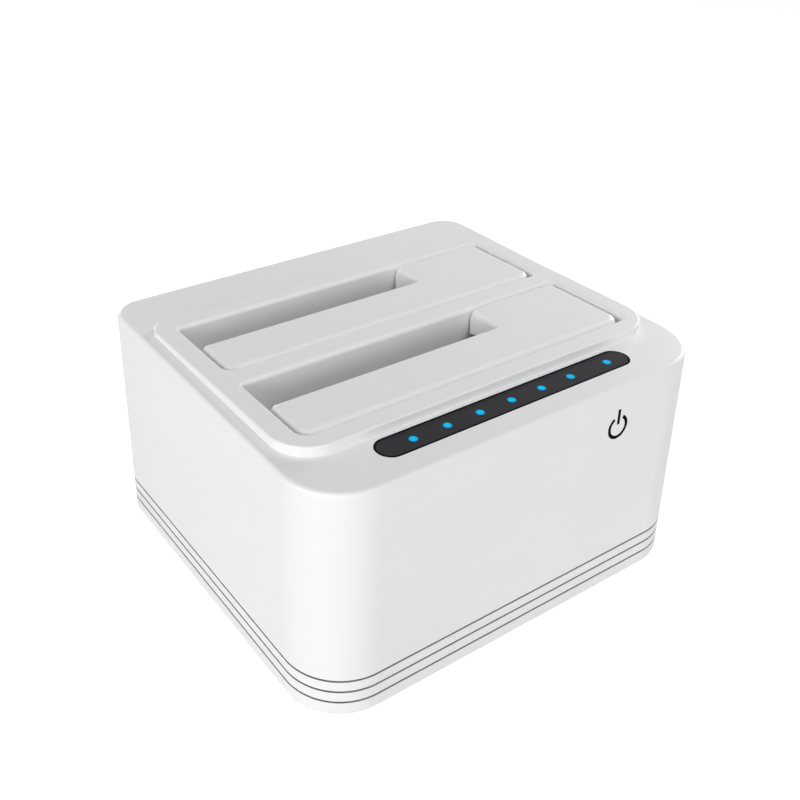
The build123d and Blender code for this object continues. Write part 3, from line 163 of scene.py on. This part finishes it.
def finishMaterial(name, look, noise):
    # a base colour with a faint mottle, and a fine grain that tilts the surface and varies its roughness
    material, tree = newMaterial(name)
    place = addNode(tree, "ShaderNodeTexCoord")
    grain = addNode(
        tree, "ShaderNodeTexNoise", Vector=(place, "Object"), Scale=1 / (look["grain"] * mm),
        Detail=noise["grainDetail"], Roughness=noise["grainRoughness"],
    )
    mottle = addNode(
        tree, "ShaderNodeTexNoise", Vector=(place, "Object"), Scale=1 / (look["mottle"] * mm),
        Detail=noise["mottleDetail"], Roughness=noise["mottleRoughness"],
    )
    base = linearFromHex(look["colour"])
    tone = addNode(tree, "ShaderNodeValToRGB", Fac=(mottle, "Fac"))
    dark, pale = tone.color_ramp.elements
    dark.position = noise["low"]
    pale.position = noise["high"]
    dark.color = (*[c * (1 - look["spread"]) for c in base], 1.0)
    pale.color = (*[min(c * (1 + look["spread"]), 1) for c in base], 1.0)
    surface = (tone, "Color")
    # painted shade: grey mixed into the base colour in the groove bands
    if "grooves" in look:
        surface = paintGrooveShade(tree, place, surface, look["grooves"])
    rough = addNode(
        tree, "ShaderNodeMapRange", Value=(grain, "Fac"), in1=noise["low"], in2=noise["high"],
        in3=look["rough"] - look["roughSpread"], in4=look["rough"] + look["roughSpread"],
    )
    bump = addNode(
        tree, "ShaderNodeBump", Height=(grain, "Fac"), Strength=1.0, Distance=look["bump"] * mm
    )
    shader = addNode(
        tree, "ShaderNodeBsdfPrincipled", Base_Color=surface, Roughness=(rough, "Result"),
        Metallic=look.get("metal", 0.0), IOR=look.get("ior", 1.5), Normal=(bump, "Normal"),
        Specular_IOR_Level=look.get("specular", 0.5),
    )
    addNode(tree, "ShaderNodeOutputMaterial", Surface=(shader, "BSDF"))
    return material


# every finish on the dock; grain, mottle and bump are sizes in mm, spread is the mottle's strength
finishes = {
    # white ABS from a fine spark-eroded mould: soft satin sheen, no visible texture at arm's length; grey
    # painted shade in the grooves
    "satinAbsWhite": dict(
        colour="#F5F5F6", grain=0.5, mottle=18, spread=0.006,
        rough=0.42, roughSpread=0.03, bump=0.004, ior=1.53, grooves=paintedGrooveShade,
    ),
    # the same resin inside the bays, from a plainer mould face; its colour is a touch paler than outside,
    # painted light standing in for the light bounced round the bays
    "satinAbsWellPaintedBounce": dict(
        colour="#F7F7F8", grain=0.6, mottle=15, spread=0.008,
        rough=0.5, roughSpread=0.04, bump=0.006, ior=1.53,
    ),
    # zinc-plated steel of the screws, pins and springs
    "zincSteel": dict(
        colour="#C9CBCE", grain=0.3, mottle=3, spread=0.05,
        rough=0.3, roughSpread=0.08, bump=0.004, metal=1.0,
    ),
    # glass-filled black nylon of the drive connectors
    "blackNylon": dict(
        colour="#1B1B1D", grain=0.35, mottle=6, spread=0.08,
        rough=0.48, roughSpread=0.06, bump=0.01, ior=1.53,
    ),
    # thin gold plate over the spring contacts
    "goldContact": dict(
        colour="#E3BE6B", grain=0.2, mottle=2, spread=0.04,
        rough=0.22, roughSpread=0.05, bump=0.002, metal=1.0,
    ),
    # green solder resist over glass-epoxy board
    "greenLaminate": dict(
        colour="#16592F", grain=0.4, mottle=4, spread=0.12,
        rough=0.35, roughSpread=0.08, bump=0.008, ior=1.5,
    ),
    # dull moulded epoxy of the chip packages
    "chipEpoxy": dict(
        colour="#222224", grain=0.2, mottle=2, spread=0.08,
        rough=0.55, roughSpread=0.06, bump=0.006, ior=1.55,
    ),
    # tinned copper leads
    "tinnedLead": dict(
        colour="#CFCFCF", grain=0.2, mottle=2, spread=0.06,
        rough=0.32, roughSpread=0.08, bump=0.003, metal=1.0,
    ),
    # drawn aluminium or steel cans of the capacitors and the crystal
    "drawnCan": dict(
        colour="#D5D6D8", grain=0.3, mottle=3, spread=0.04,
        rough=0.28, roughSpread=0.06, bump=0.003, metal=1.0,
    ),
    # pressed ferrite powder of the inductors, matt and slightly gritty
    "pressedFerrite": dict(
        colour="#3A3A3C", grain=0.25, mottle=2, spread=0.12,
        rough=0.62, roughSpread=0.08, bump=0.02, ior=1.6,
    ),
    # bright nickel plate on the data socket's shell
    "nickelShell": dict(
        colour="#DADADB", grain=0.4, mottle=5, spread=0.03,
        rough=0.2, roughSpread=0.06, bump=0.003, metal=1.0,
    ),
    # blue nylon insert of the data socket
    "blueNylon": dict(
        colour="#1C5FB4", grain=0.3, mottle=4, spread=0.05,
        rough=0.42, roughSpread=0.05, bump=0.006, ior=1.53,
    ),
    # black nylon from a polished mould, on the power rocker
    "glossNylon": dict(
        colour="#151517", grain=0.4, mottle=6, spread=0.05,
        rough=0.22, roughSpread=0.04, bump=0.003, ior=1.53,
    ),
    # pale grey ABS of the copy button
    "greyButtonAbs": dict(
        colour="#B9BBBE", grain=0.4, mottle=4, spread=0.02,
        rough=0.34, roughSpread=0.04, bump=0.004, ior=1.53,
    ),
    # clear acrylic of the light pipes
    "clearAcrylic": dict(
        colour="#DDEBF2", grain=0.5, mottle=5, spread=0.02,
        rough=0.12, roughSpread=0.02, bump=0.001, ior=1.49,
    ),
    # pale blue epoxy lens of the status lamps
    "blueLedLens": dict(
        colour="#9FD8F2", grain=0.3, mottle=2, spread=0.04,
        rough=0.2, roughSpread=0.03, bump=0.002, ior=1.5,
    ),
    # matt black: pad-print ink of the power mark, and the thin black line round the window's edge
    "matteBlackMarkAndLine": dict(
        colour="#060607", grain=0.25, mottle=2, spread=0.06,
        rough=0.6, roughSpread=0.05, bump=0.003, ior=1.5, specular=0.02,
    ),
    # amber polyimide film of the ribbons
    "polyimideFilm": dict(
        colour="#B4712A", grain=0.4, mottle=5, spread=0.06,
        rough=0.3, roughSpread=0.05, bump=0.004, ior=1.6,
    ),
    # ivory nylon of the ribbon sockets
    "ivoryNylon": dict(
        colour="#DDD8C6", grain=0.3, mottle=3, spread=0.03,
        rough=0.46, roughSpread=0.05, bump=0.006, ior=1.53,
    ),
    # dark moulded rubber of the feet
    "footRubber": dict(
        colour="#3C3C3E", grain=0.35, mottle=4, spread=0.08,
        rough=0.72, roughSpread=0.08, bump=0.02, ior=1.52,
    ),
}
made = {name: finishMaterial(name, look, noiseLook) for name, look in finishes.items()}

# smoked polycarbonate, polished: near black, with a faint reflection that varies over haze mm
smokedLook = {
    "colour": "#2A2A2D",
    "haze": 9,
    "hazeDetail": 2.0,
    "roughLow": 0.12,
    "roughHigh": 0.2,
    "ior": 1.5,
    "specular": 0.1,
}


def smokedWindowMaterial(name, look, noise):
    material, tree = newMaterial(name)
    place = addNode(tree, "ShaderNodeTexCoord")
    haze = addNode(
        tree, "ShaderNodeTexNoise", Vector=(place, "Object"),
        Scale=1 / (look["haze"] * mm), Detail=look["hazeDetail"],
    )
    rough = addNode(
        tree, "ShaderNodeMapRange", Value=(haze, "Fac"), in1=noise["low"], in2=noise["high"],
        in3=look["roughLow"], in4=look["roughHigh"],
    )
    shader = addNode(
        tree, "ShaderNodeBsdfPrincipled", Base_Color=colour(look["colour"]),
        Roughness=(rough, "Result"), IOR=look["ior"], Specular_IOR_Level=look["specular"],
    )
    addNode(tree, "ShaderNodeOutputMaterial", Surface=(shader, "BSDF"))
    return material


made["smokedPolycarbonate"] = smokedWindowMaterial("smokedPolycarbonate", smokedLook, noiseLook)

# which finish each of the record's material slots gets
slotFinish = {
    "body_plastic": "satinAbsWhite",
    "well_plastic": "satinAbsWellPaintedBounce",
    "steel": "zincSteel",
    "connector_plastic": "blackNylon",
    "contact_metal": "goldContact",
    "board_laminate": "greenLaminate",
    "chip_resin": "chipEpoxy",
    "tin_leads": "tinnedLead",
    "can_metal": "drawnCan",
    "ferrite": "pressedFerrite",
    "shell_metal": "nickelShell",
    "blue_plastic": "blueNylon",
    "rocker_plastic": "glossNylon",
    "button_plastic": "greyButtonAbs",
    "smoked_window": "smokedPolycarbonate",
    "clear_light_pipe": "clearAcrylic",
    "led_lens": "blueLedLens",
    "mark_ink": "matteBlackMarkAndLine",
    "ribbon_film": "polyimideFilm",
    "socket_plastic": "ivoryNylon",
    "foot_rubber": "footRubber",
}
for part in frame["record"]["subparts"]:
    mesh = nodes[part["node"]].data
    mesh.materials.clear()
    mesh.materials.append(made[slotFinish[part["material_slot"]]])
print("finishes assigned:", len(made))

# (y, height) of the deck's front and back edges, in mm
deckLook = {"front": (-56.7, 67.35), "back": (56.7, 69.3)}

# the lit spots over the seven light pipes, in mm: low domes on the window,
# coloured from the middle outwards by the stops, each (share of the radius, colour)
spotLook = {
    "xs": (-30.46, -20.13, -9.79, 0.58, 10.82, 21.12, 34.67),
    "y": -45.87,
    "radius": 1.3,
    "crown": 0.05,
    "lift": 0.005,
    "rings": 9,
    "sides": 40,
    "poleShare": 1e-3,
    "stops": ((0.0, "#05BCF0"), (0.6, "#04B6EE"), (0.82, "#0888B8"), (0.97, "#14384C")),
    "base": "#060708",
    "rough": 0.16,
    "specular": 0.03,
}

# the thin black line round the window's edge, in mm; its section is given from the outside inwards
# as (share of the line's width, share of its rise)
borderLook = {
    "centreX": 0.5,
    "frontY": -49.7,
    "windowWidth": 8.1,
    "windowHalfLength": 41.5,
    "width": 0.52,
    "rise": 0.04,
    "section": ((0.0, -0.05), (0.0, 0.4), (0.25, 1.0), (0.75, 1.0), (1.0, 0.4), (1.0, -0.05)),
    "pointsPerEnd": 24,
}


def deckHeight(y, deck):
    # straight line between the deck's front and back edges
    (y0, z0), (y1, z1) = deck["front"], deck["back"]
    return z0 + (y - y0) * (z1 - z0) / (y1 - y0)


def meshFromGrids(name, grids, closedAcross=False):
    # each grid is (rows, columns, 3) in mm, with one quad per cell, and each row closes on itself;
    # closedAcross also joins the last row to the first, for a ring with a closed section
    points, quads, start = [], [], 0
    for grid in grids:
        rows, columns = grid.shape[:2]
        index = start + np.arange(rows * columns).reshape(rows, columns)
        ahead = np.roll(index, -1, axis=1)
        below = np.roll(index, -1, axis=0)
        belowAhead = np.roll(ahead, -1, axis=0)
        cells = np.stack([index, ahead, belowAhead, below], axis=-1)
        quads.append((cells if closedAcross else cells[:-1]).reshape(-1, 4))
        points.append(grid.reshape(-1, 3))
        start += rows * columns
    mesh = bpy.data.meshes.new(name)
    mesh.from_pydata((np.concatenate(points) * mm).tolist(), [], np.concatenate(quads).tolist())
    mesh.shade_smooth()
    return mesh


def placePiece(name, mesh, body, material):
    mesh.materials.append(material)
    piece = bpy.data.objects.new(name, mesh)
    bpy.context.scene.collection.objects.link(piece)
    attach(piece, body)


def lightSpotMaterial(look):
    # blue light spread in smoked polycarbonate: palest over the pipe, deeper towards its rim, then dark
    material, tree = newMaterial("litSmokedPolycarbonate")
    reach = addNode(tree, "ShaderNodeAttribute", {"attribute_name": "reach"})
    ramp = addNode(tree, "ShaderNodeValToRGB", Fac=(reach, "Fac"))
    elements = ramp.color_ramp.elements
    while len(elements) < len(look["stops"]):
        elements.new(1.0)
    for element, (place, code) in zip(elements, look["stops"]):
        element.position = place
        element.color = colour(code)
    shader = addNode(
        tree, "ShaderNodeBsdfPrincipled", Base_Color=colour(look["base"]), Roughness=look["rough"],
        Emission_Color=(ramp, "Color"), Emission_Strength=1.0, Specular_IOR_Level=look["specular"],
    )
    addNode(tree, "ShaderNodeOutputMaterial", Surface=(shader, "BSDF"))
    return material


def makeLightSpots(look, deck):
    # each spot is a low dome that follows the deck's slope: at share s of the radius it stands
    # crown * (1 - s * s) above its lift; the attribute reach holds s, for the colours
    share = np.linspace(1, look["poleShare"], look["rings"])[:, None]
    around = np.linspace(0, 2 * math.pi, look["sides"], endpoint=False)[None, :]
    grids = []
    for x in look["xs"]:
        px = x + look["radius"] * share * np.cos(around)
        py = look["y"] + look["radius"] * share * np.sin(around)
        pz = deckHeight(py, deck) + look["crown"] * (1 - share**2) + look["lift"]
        grids.append(np.stack([px, py, pz], axis=-1))
    mesh = meshFromGrids("windowLightSpots", grids)
    oneSpot = np.broadcast_to(share, (look["rings"], look["sides"])).reshape(-1)
    layer = mesh.attributes.new("reach", "FLOAT", "POINT")
    layer.data.foreach_set("value", np.tile(oneSpot, len(grids)).astype(np.float32))
    placePiece("windowLightSpots", mesh, "dock", lightSpotMaterial(look))


def stadiumRing(radius, straight, centreX, centreY, count):
    # points round a strip with half-round ends: two half circles, straight apart on each side
    ends = []
    for side, start in ((1, -math.pi / 2), (-1, math.pi / 2)):
        turn = np.linspace(start, start + math.pi, count)
        px = centreX + side * straight + radius * np.cos(turn)
        py = centreY + radius * np.sin(turn)
        ends.append(np.stack([px, py], axis=-1))
    return np.concatenate(ends)


def makeWindowBorder(look, deck, material):
    # a thin bead carried round the window's edge, its section a low arch
    half = look["windowWidth"] / 2
    straight = look["windowHalfLength"] - half
    rows = []
    for share, rise in look["section"]:
        radius = half - share * look["width"]
        ring = stadiumRing(radius, straight, look["centreX"], look["frontY"] + half, look["pointsPerEnd"])
        z = deckHeight(ring[:, 1], deck) + rise * look["rise"]
        rows.append(np.column_stack([ring, z]))
    mesh = meshFromGrids("windowBorder", [np.stack(rows)], closedAcross=True)
    placePiece("windowBorder", mesh, "dock", material)


makeLightSpots(spotLook, deckLook)
makeWindowBorder(borderLook, deckLook, made["matteBlackMarkAndLine"])
print("light window dressed")

# soft studio light: sizes and places in metres, power in watts
lamps = {
    "leftSoftbox": dict(place=(-1.4, -0.2, 0.35), aim=(0, 0, 0.04), size=0.8, power=8.3),
    "cornerSoftbox": dict(place=(-0.95, -1.05, 0.32), aim=(0, 0, 0.04), size=0.5, power=4.9),
    "rightSoftbox": dict(place=(0.55, 0.1, 0.24), aim=(0, 0, 0.06), size=0.25, power=1.6),
    "highSoftbox": dict(place=(0.2, -0.75, 0.95), aim=(0, 0, 0.06), size=0.5, power=3.3),
    "rearSoftbox": dict(place=(0.1, 1.2, 0.17), aim=(0, 0, 0.04), size=0.3, power=4.0),
}


def makeLamp(name, look):
    data = bpy.data.lights.new(name, "AREA")
    data.shape = "SQUARE"
    data.size = look["size"]
    data.energy = look["power"]
    lamp = bpy.data.objects.new(name, data)
    place = Vector(look["place"])
    turn = (Vector(look["aim"]) - place).to_track_quat("-Z", "Y")
    lamp.matrix_world = Matrix.Translation(place) @ turn.to_matrix().to_4x4()
    bpy.context.scene.collection.objects.link(lamp)


for lampName, lampLook in lamps.items():
    makeLamp(lampName, lampLook)

# the floor and the light all round; shadowKept is the share of real shading that the camera sees
stageLook = {
    "floorHalf": 1.5,
    "floorColour": "#F4F4F4",
    "floorRough": 0.9,
    "floorSpecular": 0.1,
    "fibre": 1.2,
    "fibreDetail": 3.0,
    "fibreStrength": 0.1,
    "fibreDepth": 0.02,
    "worldStrength": 0.25,
    "shadowKept": 0.26,
    "glow": 1.22,
}
white = (1, 1, 1, 1)


def makeWorld(strength):
    # even light for the object; pure white where the camera, a reflection or glass looks past it
    world = bpy.data.worlds.new("studio")
    world.use_nodes = True
    tree = world.node_tree
    tree.nodes.clear()
    path = addNode(tree, "ShaderNodeLightPath")
    direct = addMath(tree, "MAXIMUM", (path, "Is Camera Ray"), (path, "Is Transmission Ray"))
    seen = addMath(tree, "MAXIMUM", (direct, "Value"), (path, "Is Glossy Ray"))
    even = addNode(tree, "ShaderNodeBackground", Color=white, Strength=strength)
    pure = addNode(tree, "ShaderNodeBackground", Color=white, Strength=1.0)
    mix = addNode(
        tree, "ShaderNodeMixShader",
        Fac=(seen, "Value"), in1=(even, "Background"), in2=(pure, "Background"),
    )
    addNode(tree, "ShaderNodeOutputWorld", Surface=(mix, "Shader"))
    bpy.context.scene.world = world


def floorMaterial(look):
    # a white sweep: the camera sees it as paper white, with a share of the real shading kept
    material, tree = newMaterial("whiteSweepPaper")
    place = addNode(tree, "ShaderNodeTexCoord")
    fibre = addNode(
        tree, "ShaderNodeTexNoise", Vector=(place, "Object"),
        Scale=1 / (look["fibre"] * mm), Detail=look["fibreDetail"],
    )
    bump = addNode(
        tree, "ShaderNodeBump", Height=(fibre, "Fac"),
        Strength=look["fibreStrength"], Distance=look["fibreDepth"] * mm,
    )
    paper = addNode(
        tree, "ShaderNodeBsdfPrincipled", Base_Color=colour(look["floorColour"]),
        Roughness=look["floorRough"], Specular_IOR_Level=look["floorSpecular"], Normal=(bump, "Normal"),
    )
    glow = addNode(tree, "ShaderNodeEmission", Color=white, Strength=look["glow"])
    path = addNode(tree, "ShaderNodeLightPath")
    share = addMath(tree, "MULTIPLY", (path, "Is Camera Ray"), 1 - look["shadowKept"])
    mix = addNode(
        tree, "ShaderNodeMixShader",
        Fac=(share, "Value"), in1=(paper, "BSDF"), in2=(glow, "Emission"),
    )
    addNode(tree, "ShaderNodeOutputMaterial", Surface=(mix, "Shader"))
    return material


def makeFloor(look):
    half = look["floorHalf"]
    corners = [(-half, -half, 0), (half, -half, 0), (half, half, 0), (-half, half, 0)]
    mesh = bpy.data.meshes.new("studioFloor")
    mesh.from_pydata(corners, [], [(0, 1, 2, 3)])
    mesh.materials.append(floorMaterial(look))
    floor = bpy.data.objects.new("studioFloor", mesh)
    bpy.context.scene.collection.objects.link(floor)


makeWorld(stageLook["worldStrength"])
makeFloor(stageLook)
bpy.context.scene.view_settings.view_transform = "Standard"
print("studio ready")
